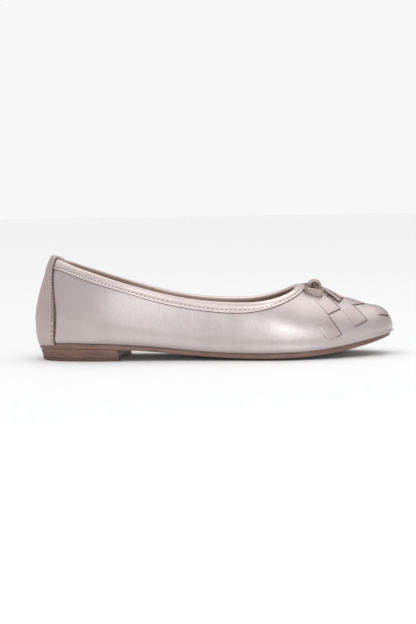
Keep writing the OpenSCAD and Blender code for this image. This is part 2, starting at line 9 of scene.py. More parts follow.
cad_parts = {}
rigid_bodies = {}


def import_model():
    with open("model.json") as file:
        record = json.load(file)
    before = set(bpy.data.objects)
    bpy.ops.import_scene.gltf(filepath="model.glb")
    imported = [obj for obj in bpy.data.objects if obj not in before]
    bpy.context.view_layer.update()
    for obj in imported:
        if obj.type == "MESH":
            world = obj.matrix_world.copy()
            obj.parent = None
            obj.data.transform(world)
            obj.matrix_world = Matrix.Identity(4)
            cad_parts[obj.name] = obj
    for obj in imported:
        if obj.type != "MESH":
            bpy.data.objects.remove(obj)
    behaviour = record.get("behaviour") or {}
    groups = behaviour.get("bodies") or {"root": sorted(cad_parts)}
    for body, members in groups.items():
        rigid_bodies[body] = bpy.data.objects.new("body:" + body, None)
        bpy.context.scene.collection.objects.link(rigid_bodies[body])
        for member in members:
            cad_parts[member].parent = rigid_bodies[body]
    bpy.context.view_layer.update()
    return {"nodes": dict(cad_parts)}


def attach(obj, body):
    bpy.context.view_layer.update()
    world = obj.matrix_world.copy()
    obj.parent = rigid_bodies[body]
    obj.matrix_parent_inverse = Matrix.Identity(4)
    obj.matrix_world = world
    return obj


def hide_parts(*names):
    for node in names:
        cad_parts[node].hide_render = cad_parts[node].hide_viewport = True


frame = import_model()

# ---- The last: the same surface as in the CAD, in millimetres, heel at x = -LENGTH / 2 ----

LENGTH = 252.0
HEEL_HUB = 30.0
TIP_RISE = 2.6
LATERAL = [(0, 50), (.1, 41.5), (.2, 35.8), (.35, 31), (.5, 33.5), (.6, 38.5), (.7, 43.5),
           (.8, 44), (.9, 42), (1, 43)]
MEDIAL = [(0, 50), (.1, 41.5), (.2, 35.2), (.35, 27.2), (.5, 28), (.6, 34), (.7, 40.5),
          (.8, 43.5), (.9, 43), (1, 44)]
SPINE = [(0, 0), (.3, 0), (.7, 1), (1, 4)]
FEATHER = [(0, 11.2), (.06, 12), (.1, 12.2), (.16, 11.9), (.25, 10.9), (.36, 8.7), (.42, 7.1),
           (.49, 5.7), (.57, 4.9), (.68, 4.9), (.75, 5.5), (.82, 7.2), (.886, 9.8), (.93, 12),
           (.96, 13.8), (1, 16.2)]
RIDGE = [(0, 84), (.2, 84), (.4, 78), (.55, 66), (.65, 56.5), (.73, 50.2), (.78, 48.8),
         (.82, 47.2), (.86, 45), (.9, 43.2), (.93, 43.2), (.96, 45.4), (.985, 47.5), (1, 48)]
BULGE = [(0, 18), (.1, 17), (.25, 14), (.4, 12), (.6, 10), (.8, 8), (.9, 6.5), (.96, 4.5),
         (1, 2.6)]
TUCK = [(0, 2.8), (.2, 3), (.5, 2.6), (.8, 2.4), (.95, 1.4), (1, 0)]
ARCH = [(0, 1.45), (.06, 1.45), (.12, 1.65), (.25, 2.2), (.5, 2.3), (.7, 2.15), (.85, 2), (1, 2)]
TOPLINE = [(0, 72.4), (.045, 71.2), (.087, 67.6), (.12, 64.4), (.16, 60.9), (.222, 55.7),
           (.291, 50.4), (.36, 45.7), (.43, 42.1), (.498, 40), (.56, 39.2), (.619, 39.6),
           (.66, 41.4), (.69, 43.6), (.712, 45.9), (.728, 48.3), (.742, 51)]
BAND = [(0, 64.8), (.067, 62.8), (.16, 54.8), (.269, 46.1), (.337, 40.8), (.405, 36.8),
        (.473, 34), (.54, 32.5), (.608, 33.3), (.69, 39.2), (.739, 45.6), (.764, 51)]
SOLE_SHARE = [(0, 1), (.3, .91), (.45, .9), (.57, .97), (.64, 1), (.75, 1), (.88, .94), (.95, .82),
              (1, .7)]
TREAD_DIP = [(0, 0), (.35, 0), (.6, 1.45), (.72, 1.35), (.95, 0), (1, 0)]

# Thicknesses and widths, and depths under the outer face of the upper
LEATHER_T = 1.2
LINING_D = 2.55
INNER_D = 3.35
SOLE_T = 3.4
LASTING_W = 12.0
BOARD_TOP = INNER_D + 0.1 + 2 + 0.05


def curve(points, x):
    """Smooth curve through the points, with slopes that follow its uneven steps."""
    xs, ys = np.array([p[0] for p in points], float), np.array([p[1] for p in points], float)
    step = np.diff(xs)
    rise = np.diff(ys) / step
    slope = np.empty_like(ys)
    slope[0], slope[-1] = rise[0], rise[-1]
    slope[1:-1] = (rise[:-1] * step[1:] + rise[1:] * step[:-1]) / (step[1:] + step[:-1])
    x = np.clip(np.asarray(x, float), xs[0], xs[-1])
    i = np.clip(np.searchsorted(xs, x, side="left") - 1, 0, len(xs) - 2)
    t = (x - xs[i]) / step[i]
    return ((1 + 2 * t) * (1 - t) ** 2 * ys[i] + t * (1 - t) ** 2 * step[i] * slope[i]
            + t * t * (3 - 2 * t) * ys[i + 1] + t * t * (t - 1) * step[i] * slope[i + 1])


def blend(a, b, t):
    return a + (b - a) * t


def smooth(t):
    t = np.clip(t, 0, 1)
    return t * t * (3 - 2 * t)


def cosd(a):
    return np.cos(np.radians(a))


def sind(a):
    return np.sin(np.radians(a))


def foot(a, side, d):
    """Where column a meets the outline inset by d, as x from the heel and y."""
    share = (1 - cosd(a)) / 2
    w = np.where(np.asarray(side) < 0, curve(LATERAL, share), curve(MEDIAL, share)) - d
    return LENGTH / 2 - (LENGTH / 2 - d) * cosd(a), curve(SPINE, share) + side * sind(a) * w


def hub_x(x):
    return np.where(x > 100, x, HEEL_HUB + (x - HEEL_HUB + np.hypot(x - HEEL_HUB, 8)) / 2)


def tip(a):
    return np.where(np.asarray(a) > 90, 1 - sind(a), 0.0)


def feather(share):
    return curve(FEATHER, share)


def equator(share, a, d):
    return curve(BULGE, share) + 0.9 * d * tip(a)


def crown(share, a, d):
    return (1 - tip(a)) * (curve(RIDGE, share) - d) + tip(a) * (TIP_RISE + 0.9 * d)


def last(a, side, t, d=0.0):
    """A point of the last: t is -1 at the sole, 0 at the widest line and 1 in the middle."""
    a, side, t, d = np.broadcast_arrays(np.asarray(a, float), side, np.asarray(t, float), d)
    fx, fy = foot(a, side, d)
    cx, cy = hub_x(fx), curve(SPINE, (1 - cosd(a)) / 2)
    share = fx / LENGTH
    w = np.hypot(fx - cx, fy - cy)
    n = curve(ARCH, share)
    q = equator(share, a, d)
    tuck = np.minimum(curve(TUCK, share), 0.3 * w)
    low = np.clip(-t, 0, 1.2)
    high = np.clip(t, 0, 1)
    r_low = w - tuck * (1 - cosd(90 * low))
    r_high = w * np.maximum(cosd(90 * high), 0) ** (2 / n)
    z_low = d + (q - d) * (1 - sind(90 * low))
    z_high = q + (crown(share, a, d) - q) * sind(90 * high) ** (2 / n)
    r = np.where(t <= 0, r_low, r_high)
    z = np.where(t <= 0, z_low, z_high)
    ratio = np.where(w > 1e-3, r / np.maximum(w, 1e-3), 1)
    x = cx + (fx - cx) * ratio
    y = cy + (fy - cy) * ratio
    return np.stack([x - LENGTH / 2, y, feather(share) + z], axis=-1)


def meet(a, side, profile, drop=0.0):
    """Height share at which column a meets a side profile."""
    a, side = np.broadcast_arrays(np.asarray(a, float), side)
    fx, _ = foot(a, side, 0)
    share = fx / LENGTH
    q = equator(share, a, 0)
    n = curve(ARCH, share)
    t = np.ones_like(a)
    for _ in range(6):
        x = last(a, side, t)[..., 0] / LENGTH + 0.5
        u = (curve(profile, x) - drop - feather(share) - q) / (crown(share, a, 0) - q)
        u = np.clip(u, 0, 1)
        t = np.where(u >= 1, 1.0, np.degrees(np.arcsin(u ** (n / 2))) / 90)
    return t


def throat_angle(profile, lo=100.0, hi=140.0):
    for _ in range(30):
        mid = (lo + hi) / 2
        closed = meet(mid, -1, profile) >= 1 and meet(mid, 1, profile) >= 1
        lo, hi = (lo, mid) if closed else (mid, hi)
    return (lo + hi) / 2


THROAT = throat_angle(TOPLINE)
BAND_END = throat_angle(BAND)


# ---- Meshes from grids of points ---------------------------------------------------------------

def new_object(name, verts, faces, material_ids, materials, sharp=40):
    mesh = bpy.data.meshes.new(name)
    mesh.from_pydata([tuple(v) for v in np.asarray(verts) * 0.001], [], faces)
    for m in materials:
        mesh.materials.append(m)
    mesh.polygons.foreach_set("material_index", np.asarray(material_ids, np.int32))
    obj = bpy.data.objects.new(name, mesh)
    bpy.context.scene.collection.objects.link(obj)
    clean(obj, sharp)
    return obj


def clean(obj, sharp=40):
    """Joins double points, drops empty faces, turns faces outwards and marks sharp edges."""
    bm = bmesh.new()
    bm.from_mesh(obj.data)
    bmesh.ops.remove_doubles(bm, verts=bm.verts, dist=2e-6)
    bmesh.ops.dissolve_degenerate(bm, edges=bm.edges, dist=1e-6)
    loose = [v for v in bm.verts if not v.link_faces]
    bmesh.ops.delete(bm, geom=loose, context="VERTS")
    bmesh.ops.recalc_face_normals(bm, faces=bm.faces)
    limit = math.radians(sharp)
    for face in bm.faces:
        face.smooth = True
    for edge in bm.edges:
        edge.smooth = len(edge.link_faces) == 2 and edge.calc_face_angle(0) < limit
    bm.to_mesh(obj.data)
    bm.free()


def quads(cols, rows, closed_cols=False, closed_rows=False, base=0, flip=False):
    faces = []
    for c in range(cols if closed_cols else cols - 1):
        for r in range(rows if closed_rows else rows - 1):
            c2, r2 = (c + 1) % cols, (r + 1) % rows
            near, far = base + c * rows, base + c2 * rows
            face = [near + r, far + r, far + r2, near + r2]
            faces.append(face[::-1] if flip else face)
    return faces


def shell(name, outer, inner, materials, closed=False, middle=None, sharp=40, raw=None):
    """A sheet with thickness. Its edges are the second material; raw picks one for each outer face."""
    cols, rows = outer.shape[:2]
    verts = np.concatenate([outer.reshape(-1, 3), inner.reshape(-1, 3)])
    base = cols * rows
    count = cols if closed else cols - 1
    front = [int(raw(c, r)) if raw else 0 for c in range(count) for r in range(rows - 1)]
    faces = quads(cols, rows, closed) + quads(cols, rows, closed, base=base, flip=True)
    ids = front + [0] * len(front)
    top = rows - 1
    for c in range(count):
        n = (c + 1) % cols
        faces.append([c * rows, n * rows, base + n * rows, base + c * rows])
        ids.append(1)
        if not (middle is not None and middle[c] and middle[n]):
            faces.append([n * rows + top, c * rows + top,
                          base + c * rows + top, base + n * rows + top])
            ids.append(1)
    if not closed:
        for r in range(rows - 1):
            k = (cols - 1) * rows + r
            faces += [[r, r + 1, base + r + 1, base + r], [k + 1, k, base + k, base + k + 1]]
            ids += [1, 1]
    return new_object(name, verts, faces, ids, materials, sharp)


def join(name, objects):
    """Joins finished objects into one, keeping their materials."""
    verts, faces, ids, materials = [], [], [], []
    for o in objects:
        base = len(verts)
        slots = []
        for m in o.data.materials:
            if m not in materials:
                materials.append(m)
            slots.append(materials.index(m))
        verts += [tuple(v.co) for v in o.data.vertices]
        for p in o.data.polygons:
            faces.append([base + v for v in p.vertices])
            ids.append(slots[p.material_index])
        mesh = o.data
        bpy.data.objects.remove(o)
        bpy.data.meshes.remove(mesh)
    mesh = bpy.data.meshes.new(name)
    mesh.from_pydata(verts, [], faces)
    for m in materials:
        mesh.materials.append(m)
    mesh.polygons.foreach_set("material_index", np.array(ids, np.int32))
    obj = bpy.data.objects.new(name, mesh)
    bpy.context.scene.collection.objects.link(obj)
    clean(obj, 40)
    return obj


def finish_piece(obj, slot, *nodes):
    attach(obj, "root")
    if nodes:
        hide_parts(*nodes)


# ---- Materials ----------------------------------------------------------------------------------

class Graph:
    """Short calls for the few shader nodes that the materials share."""

    def __init__(self, name):
        self.material = bpy.data.materials.new(name)
        self.material.use_nodes = True
        self.nodes = self.material.node_tree.nodes
        self.links = self.material.node_tree.links
        self.shader = self.nodes["Principled BSDF"]
        self.position = self.nodes.new("ShaderNodeNewGeometry").outputs["Position"]

    def set(self, **values):
        names = {"base": "Base Color", "metallic": "Metallic", "rough": "Roughness",
                 "specular": "Specular IOR Level", "coat": "Coat Weight",
                 "coat_rough": "Coat Roughness", "sheen": "Sheen Weight",
                 "sheen_rough": "Sheen Roughness"}
        for key, value in values.items():
            socket = self.shader.inputs[names[key]]
            socket.default_value = (*value, 1) if isinstance(value, tuple) else value

    def link(self, a, b):
        self.links.new(a, b)

    def scaled(self, scale):
        node = self.nodes.new("ShaderNodeMapping")
        node.inputs["Scale"].default_value = scale
        self.link(self.position, node.inputs["Vector"])
        return node.outputs["Vector"]

    def noise(self, scale, detail=4, rough=0.55, vector=None):
        node = self.nodes.new("ShaderNodeTexNoise")
        node.inputs["Scale"].default_value = scale
        node.inputs["Detail"].default_value = detail
        node.inputs["Roughness"].default_value = rough
        self.link(vector or self.position, node.inputs["Vector"])
        return node.outputs["Fac"]

    def cells(self, scale, vector=None):
        node = self.nodes.new("ShaderNodeTexVoronoi")
        node.inputs["Scale"].default_value = scale
        self.link(vector or self.position, node.inputs["Vector"])
        return node.outputs["Distance"]

    def waves(self, scale, direction="Z", distortion=0.0, vector=None):
        node = self.nodes.new("ShaderNodeTexWave")
        node.wave_type = "BANDS"
        node.bands_direction = direction
        node.inputs["Scale"].default_value = scale
        node.inputs["Distortion"].default_value = distortion
        node.inputs["Detail Scale"].default_value = 2.0
        self.link(vector or self.position, node.inputs["Vector"])
        return node.outputs["Fac"]

    def ramp(self, value, stops):
        node = self.nodes.new("ShaderNodeValToRGB")
        ramp = node.color_ramp
        while len(ramp.elements) < len(stops):
            ramp.elements.new(0.5)
        for element, (place, colour) in zip(ramp.elements, stops):
            element.position = place
            element.color = (*colour, 1) if isinstance(colour, tuple) else (colour, colour, colour, 1)
        self.link(value, node.inputs["Fac"])
        return node.outputs["Color"]

    def math(self, kind, a, b):
        node = self.nodes.new("ShaderNodeMath")
        node.operation = kind
        for socket, value in zip(node.inputs, (a, b)):
            if isinstance(value, (int, float)):
                socket.default_value = value
            else:
                self.link(value, socket)
        return node.outputs[0]

    def colour(self, value, stops):
        self.link(self.ramp(value, stops), self.shader.inputs["Base Color"])

    def roughness(self, value, low, high):
        self.link(self.ramp(value, [(0.25, low), (0.75, high)]), self.shader.inputs["Roughness"])

    def bump(self, *layers):
        """Each layer is a height output with its depth in metres."""
        normal = None
        for height, depth in layers:
            node = self.nodes.new("ShaderNodeBump")
            node.inputs["Distance"].default_value = depth
            node.inputs["Strength"].default_value = 1.0
            self.link(height, node.inputs["Height"])
            if normal:
                self.link(normal, node.inputs["Normal"])
            normal = node.outputs["Normal"]
        self.link(normal, self.shader.inputs["Normal"])


def srgb(r, g, b):
    return tuple(((c / 255 + 0.055) / 1.055) ** 2.4 if c > 10 else c / 255 / 12.92 for c in (r, g, b))


def pearl(name, light, dark, rough=(0.3, 0.4), grain=0.00005, coat=0.9):
    """Metallic leather: a fine pebble grain, soft creases and a cloudy pearl tone."""
    g = Graph(name)
    g.set(metallic=0.5, coat=coat, coat_rough=0.3, specular=0.5)
    cloud = g.noise(45, 5, 0.6)
    g.colour(cloud, [(0.3, dark), (0.7, light)])
    g.roughness(g.noise(240, 3), *rough)
    pebbles = g.cells(1500)
    fine = g.noise(2600, 3)
    creases = g.noise(110, 4, 0.6, g.scaled((1.0, 1.0, 0.45)))
    g.bump((creases, 0.00022), (pebbles, grain), (fine, grain * 0.5))
    return g.material


def raw_edge(name, light, dark):
    """The cut edge of leather: brown fibres in thin layers."""
    g = Graph(name)
    g.set(metallic=0.0, specular=0.3)
    fibres = g.noise(900, 5, 0.7, g.scaled((1, 1, 3)))
    g.colour(fibres, [(0.3, dark), (0.7, light)])
    g.roughness(fibres, 0.6, 0.85)
    g.bump((fibres, 0.0001))
    return g.material


def lining_leather(name, light, dark):
    g = Graph(name)
    g.set(metallic=0.0, specular=0.35, sheen=0.15, sheen_rough=0.5)
    patches = g.noise(60, 5, 0.6)
    g.colour(patches, [(0.3, dark), (0.72, light)])
    g.roughness(g.noise(300, 3), 0.5, 0.66)
    g.bump((g.noise(140, 4), 0.0002), (g.cells(1900), 0.00006), (g.noise(3200, 2), 0.00003))
    return g.material


def sole_edge(name, light, dark, line):
    """Stacked leather seen from its side: thin level layers, waxed."""
    g = Graph(name)
    g.set(metallic=0.0, specular=0.45, coat=0.12, coat_rough=0.35)
    layers = g.waves(330, "Z", 1.6, g.scaled((0.06, 0.06, 1)))
    mottled = g.noise(130, 5, 0.65, g.scaled((0.5, 0.5, 2.0)))
    both = g.math("ADD", g.math("MULTIPLY", layers, 0.3), g.math("MULTIPLY", mottled, 0.7))
    g.colour(both, [(0.25, line), (0.42, dark), (0.7, light)])
    g.roughness(mottled, 0.38, 0.55)
    g.bump((layers, 0.0001), (g.noise(1400, 4), 0.00005))
    return g.material


def rubber(name, light, dark):
    g = Graph(name)
    g.set(metallic=0.0, specular=0.4)
    speck = g.noise(700, 5, 0.7)
    g.colour(speck, [(0.3, dark), (0.7, light)])
    g.roughness(speck, 0.5, 0.7)
    g.bump((speck, 0.00008), (g.cells(900), 0.00005))
    return g.material


def thread(name, light, dark):
    g = Graph(name)
    g.set(metallic=0.0, specular=0.5, sheen=0.3, sheen_rough=0.4)
    ply = g.waves(1500, "DIAGONAL", 0.5)
    g.colour(ply, [(0.2, dark), (0.8, light)])
    g.roughness(ply, 0.35, 0.5)
    g.bump((ply, 0.00008))
    return g.material


def cloth(name, light, dark, scale=900):
    g = Graph(name)
    g.set(metallic=0.0, specular=0.2, sheen=0.2, sheen_rough=0.5)
    weave = g.math("MULTIPLY", g.waves(scale, "X", 0.4), g.waves(scale, "Y", 0.4))
    g.colour(weave, [(0.1, dark), (0.7, light)])
    g.roughness(weave, 0.75, 0.9)
    g.bump((weave, 0.0001))
    return g.material


def steel(name):
    g = Graph(name)
    g.set(metallic=1.0)
    brushed = g.noise(900, 4, 0.6, g.scaled((0.05, 1, 1)))
    g.colour(brushed, [(0.3, (0.42, 0.42, 0.43)), (0.7, (0.58, 0.58, 0.6))])
    g.roughness(brushed, 0.28, 0.42)
    g.bump((brushed, 0.00002))
    return g.material


def tape_weave(name, light, dark):
    """The bow's tape: a fine metallic lizard-like grain in rows."""
    g = Graph(name)
    g.set(metallic=0.45, specular=0.5, coat=0.1, coat_rough=0.3)
    beads = g.cells(1050, g.scaled((1, 1, 1.35)))
    g.colour(beads, [(0.15, light), (0.62, dark)])
    g.roughness(g.noise(500, 3), 0.34, 0.5)
    g.bump((beads, -0.0004), (g.noise(2500, 2), 0.00004))
    return g.material


M_UPPER = pearl("pearl_leather", srgb(191, 178, 177), srgb(177, 163, 162))
# the woven strips: the pearl leather a little darker, painted shade for the dimmer sheen of the woven
# squares
M_STRIP_SHADED = pearl("strip_leather_painted_shade", srgb(184, 167, 165), srgb(168, 150, 148))
M_PANEL = pearl("panel_leather", srgb(192, 174, 171), srgb(178, 160, 157), rough=(0.4, 0.5),
                coat=0.1)
M_BINDING = pearl("binding_leather", srgb(212, 197, 194), srgb(197, 180, 177), grain=0.00004)
# brown cut edges, and also narrow bands of outer faces beside some edges: partly cut edge, partly painted
# shade
M_RAW_EDGE_AND_SHADE = raw_edge("raw_leather_edge_and_painted_shade", srgb(118, 90, 84), srgb(76, 54, 50))
M_LINING = lining_leather("lining_leather", srgb(170, 147, 136), srgb(148, 125, 114))
M_INSOCK = lining_leather("insock_leather", srgb(176, 153, 142), srgb(155, 132, 120))
M_SOLE = sole_edge("sole_edge", srgb(134, 103, 89), srgb(114, 86, 74), srgb(84, 59, 50))
M_TREAD = rubber("sole_tread", srgb(122, 96, 84), srgb(98, 75, 65))
M_TOP_PIECE = rubber("top_piece_rubber", srgb(112, 84, 72), srgb(84, 61, 52))
M_THREAD = thread("sewing_thread", srgb(224, 213, 208), srgb(186, 170, 164))
# the needle holes: dark discs, painted shade of the holes
M_HOLE_SHADE = raw_edge("needle_hole_painted_shade", srgb(74, 54, 49), srgb(46, 32, 29))
M_BOW = tape_weave("bow_tape", srgb(208, 191, 184), srgb(158, 138, 131))
M_CLOTH = cloth("interlining_cloth", srgb(206, 190, 165), srgb(168, 150, 124))
M_BOARD = raw_edge("insole_fibre_board", srgb(180, 150, 116), srgb(146, 116, 84))
M_STEEL = steel("shank_steel")
M_FOAM = rubber("latex_foam", srgb(214, 203, 170), srgb(188, 176, 140))

CARRIED = {"vamp_interlining": M_CLOTH, "toe_puff": M_CLOTH, "heel_counter": M_CLOTH,
           "insole_board": M_BOARD, "shank": M_STEEL, "shank_rivets": M_STEEL,
           "bottom_filler": M_CLOTH, "bow_tack_thread": M_THREAD}
for node_name, material in CARRIED.items():
    node = frame["nodes"][node_name]
    node.data.materials.clear()
    node.data.materials.append(material)


# ---- Upper ------------------------------------------------------------------------------------

def columns(rear, front):
    """Column angles from heel to toe, closer together near the throat."""
    a = THROAT * np.sin(np.radians(90 * np.arange(rear + 1) / rear))
    return np.concatenate([a, blend(THROAT, 180, np.arange(1, front + 1) / front)])


def ring_of(angles):
    """The columns of both sides, round the shoe: heel, outer side, toe, inner side."""
    a = np.concatenate([angles, angles[-2:0:-1]])
    side = np.concatenate([-np.ones(len(angles)), np.ones(len(angles) - 2)])
    return a, side


def margin_rows(a, side, d, width, rows=3):
    """The leather turned under the foot, from its cut end to the feather line."""
    out = []
    for i in range(rows):
        inset = d + width * (1 - i / rows)
        fx, fy = foot(a, side, inset)
        out.append(np.stack([fx - LENGTH / 2, fy, feather(fx / LENGTH) + d], -1))
    return np.stack(out, 1)


def wall_shares(top, low_rows, high_rows, start=-1.0):
    low = np.linspace(start, 0, low_rows, endpoint=False)
    low = np.repeat(low[None], len(top), 0)
    high = top[:, None] * np.linspace(0, 1, high_rows + 1)[None]
    return np.concatenate([low, high], 1)


def feather_roll(points, t):
    """The leather rounds out a little just above the sole."""
    bulge = 0.45 * np.exp(-((t + 0.62) / 0.2) ** 2) - 0.25 * np.exp(-((t + 0.2) / 0.16) ** 2)
    centre = np.stack([np.clip(points[..., 0], -96, 96),
                       curve(SPINE, points[..., 0] / LENGTH + 0.5), points[..., 2]], -1)
    out = points - centre
    out[..., 2] = 0
    length = np.linalg.norm(out, axis=-1, keepdims=True)
    return points + out / np.maximum(length, 1) * bulge[..., None] * np.clip(length / 6 - 0.4, 0, 1)


def layer_points(a, side, d, top, margin, low_rows, high_rows, roll=False):
    t = wall_shares(top, low_rows, high_rows)
    wall = last(a[:, None], side[:, None], t, d)
    if roll:
        wall = feather_roll(wall, t)
    if margin:
        return np.concatenate([margin_rows(a, side, d, margin), wall], 1)
    return wall


def closed_top(a, side):
    """The topline share of each column, exactly 1 where the two sides meet in the middle."""
    top = meet(a, side, TOPLINE)
    return np.where(top > 0.9999, 1.0, top)


def make_upper():
    angles = columns(72, 56)
    a, side = ring_of(angles)
    top = closed_top(a, side)
    outer = layer_points(a, side, 0.0, top, LASTING_W, 12, 40, roll=True)
    inner = layer_points(a, side, LEATHER_T, top, LASTING_W, 12, 40)
    upper = shell("upper_leather_skin", outer, inner, [M_UPPER, M_RAW_EDGE_AND_SHADE], True, top == 1, sharp=50)
    finish_piece(upper, "pearl_leather", "upper_leather")


LINING_JOIN = 99.6
LINING_GAP = 0.3


def make_linings():
    angles = columns(60, 44)
    split = int(np.searchsorted(angles, LINING_JOIN))
    rear, front = angles[:split + 1], angles[split:].copy()
    front[0] += LINING_GAP
    width = LASTING_W - 3
    a = np.concatenate([rear[::-1], rear[1:]])
    side = np.concatenate([np.ones(len(rear)), -np.ones(len(rear) - 1)])
    top = meet(a, side, TOPLINE)
    quarter = shell("quarter_lining_skin", layer_points(a, side, LINING_D, top, width, 8, 30),
                    layer_points(a, side, INNER_D, top, width, 8, 30), [M_LINING, M_RAW_EDGE_AND_SHADE])
    finish_piece(quarter, "lining", "quarter_lining")
    a = np.concatenate([front, front[-2::-1]])
    side = np.concatenate([-np.ones(len(front)), np.ones(len(front) - 1)])
    top = closed_top(a, side)
    vamp = shell("vamp_lining_skin", layer_points(a, side, LINING_D, top, width, 8, 30),
                 layer_points(a, side, INNER_D, top, width, 8, 30), [M_LINING, M_RAW_EDGE_AND_SHADE], middle=top == 1)
    finish_piece(vamp, "lining", "vamp_lining")


# ---- Binding and heel panel -------------------------------------------------------------------

BIND_T = 0.8
BIND_OUT = -0.05
BIND_IN = INNER_D + 0.05
# the stitch row, as a share of the binding's outer leg from its fold
STITCH_ROW = 0.64


def tape_point(u, side, w, d):
    """A point of the binding: u along the topline, w from its fold (0) to its edge (1)."""
    a, b = THROAT * sind(90 * u), BAND_END * sind(90 * u)
    return last(blend(a, b, w), side, blend(meet(a, side, TOPLINE), meet(b, side, BAND), w), d)


def topline_loop(n):
    """Places round the topline: from the heel along the outer side to the throat and back."""
    u = np.concatenate([np.arange(n + 1) / n, np.arange(n - 1, 0, -1) / n])
    side = np.concatenate([-np.ones(n + 1), np.ones(n - 1)])
    return u, side


def make_binding():
    n = 110
    u, side = topline_loop(n)
    core = INNER_D / 2
    up = tape_point(u, side, 0, core) - tape_point(u, side, 1, core)
    up /= np.linalg.norm(up, axis=-1, keepdims=True)
    across = tape_point(u, side, 0, INNER_D) - tape_point(u, side, 0, 0)
    across -= up * np.sum(across * up, -1, keepdims=True)
    rows = []
    w_leg = [1, 0.985, 0.94, 0.86, 0.76, 0.69, 0.64, 0.59, 0.5, 0.38, 0.26, 0.14, 0.06]
    for w in w_leg:
        # the stitch row pulls the tape down into a shallow channel
        channel = 0.28 * math.exp(-((w - STITCH_ROW) / 0.07) ** 2)
        if w < 0.6:
            puff = 0.22 * math.sin(math.pi * (w / 0.6))
        else:
            puff = 0.08 * math.sin(math.pi * (w - 0.6) / 0.4)
        lip = 0.3 if w > 0.99 else 0.0
        rows.append(tape_point(u, side, w, BIND_OUT - BIND_T + channel - puff + lip))
    fold = 9
    start, end = tape_point(u, side, 0, BIND_OUT - BIND_T), tape_point(u, side, 0, BIND_IN + BIND_T)
    mid, half = (start + end) / 2, (end - start) / 2
    for i in range(fold + 1):
        g = math.pi * i / fold
        rows.append(mid - half * math.cos(g) + up * 1.25 * math.sin(g) ** 0.8)
    w_inner = (0.04, 0.1, 0.16, 0.22, 0.27, 0.3)
    for w in w_inner:
        rows.append(tape_point(u, side, w, BIND_IN + BIND_T - 0.25 * smooth((w - 0.2) / 0.1)))
    outer = np.stack(rows, 1)
    inner_rows = []
    for i, row in enumerate(rows):
        if i < len(w_leg):
            inner_rows.append(tape_point(u, side, w_leg[i], BIND_OUT))
        elif i <= len(w_leg) + fold:
            g = math.pi * (i - len(w_leg)) / fold
            a = tape_point(u, side, 0, BIND_OUT)
            b = tape_point(u, side, 0, BIND_IN)
            inner_rows.append((a + b) / 2 - (b - a) / 2 * math.cos(g) + up * 0.4 * math.sin(g) ** 0.8)
        else:
            inner_rows.append(tape_point(u, side, w_inner[i - len(w_leg) - fold - 1], BIND_IN))
    inner = np.stack(inner_rows, 1)
    # the outer face's two rows next to its lower edge take the raw edge colour: partly the cut edge,
    # partly a painted shade line under the binding
    binding = shell("topline_binding_tape", outer, inner, [M_BINDING, M_RAW_EDGE_AND_SHADE, M_LINING], True, sharp=60,
                    raw=lambda c, r: 1 if r < 2 else 2 * (r >= len(w_leg) + fold - 3))
    finish_piece(binding, "binding_leather", "topline_binding")


PANEL_EDGE = [(-1, 27.3), (-.6, 27.9), (-.24, 28.7), (0, 29.3), (.1, 29.2), (.19, 27.8),
              (.28, 25.6), (.36, 22.8), (.43, 20.8), (.5, 20.8)]


def panel_point(share, t, d):
    """A point of the heel panel: share from -1 (inner edge) to 1 (outer edge)."""
    a = np.abs(share) * curve(PANEL_EDGE, t)
    return last(a, np.where(np.asarray(share) < 0, 1.0, -1.0), t, d)


def panel_marks(share):
    side = np.where(np.asarray(share) < 0, 1.0, -1.0)
    return meet(np.abs(share) * 21, side, TOPLINE), meet(np.abs(share) * 21, side, BAND)


def make_panel():
    share = np.sin(np.radians(np.linspace(-90, 90, 47)))
    top, band = panel_marks(share)

    def ring(low_d, high_d, in_d, lift):
        rows = []
        for t in np.linspace(-0.97, 0, 9, endpoint=False):
            rows.append(panel_point(share, np.full_like(share, t), low_d))
        for f in np.linspace(0, 1, 19):
            rows.append(panel_point(share, band * f, blend(low_d, high_d, smooth((f - 0.87) / 0.12))))
        for f in (0.2, 0.4, 0.6, 0.8, 1):
            rows.append(panel_point(share, blend(band, top, f), high_d))
        up = panel_point(share, top, 0) - panel_point(share, band, 0)
        up /= np.linalg.norm(up, axis=-1, keepdims=True)
        a, b = panel_point(share, top, high_d), panel_point(share, top, in_d)
        for i in range(1, 8):
            g = math.pi * i / 8
            rows.append((a + b) / 2 - (b - a) / 2 * math.cos(g) + up * lift * math.sin(g) ** 0.8)
        for f in (1, 0.7, 0.4, 0.1, -0.2):
            rows.append(panel_point(share, blend(band, top, f), in_d))
        return np.stack(rows, 1)

    over = BIND_OUT - BIND_T - 0.15
    inside = BIND_IN + BIND_T + 0.1
    edge = 0.12 * (1 - np.abs(share[:, None]) ** 12)
    outer = ring(BIND_OUT - 0.8 - edge[:, 0], over - 0.75 - edge[:, 0], inside + 0.8, 2.2)
    inner = ring(BIND_OUT, over, inside, 1.4)
    # the outer face beside both side edges takes the raw edge colour: partly the cut edge, partly painted
    # shadow along it
    panel = shell("heel_panel_leather", outer, inner, [M_PANEL, M_RAW_EDGE_AND_SHADE], sharp=50,
                  raw=lambda c, r: abs(share[c] + share[c + 1]) / 2 > 0.955 and r < 42)
    finish_piece(panel, "panel_leather", "heel_panel")


# ---- Thread -------------------------------------------------------------------------------------

def bead_chain(centres, axes, normals_at, radii, sides=6):
    """Closed tube through the centres: each ring stands across its axis."""
    rings = []
    for c, axis, n, r in zip(centres, axes, normals_at, radii):
        across = np.cross(axis, n)
        across /= np.linalg.norm(across)
        g = np.arange(sides) * 2 * math.pi / sides
        rings.append(c + r * (np.cos(g)[:, None] * n + np.sin(g)[:, None] * across))
    return np.array(rings)


BINDING_STITCHES = 84
PANEL_ROW = 0.92


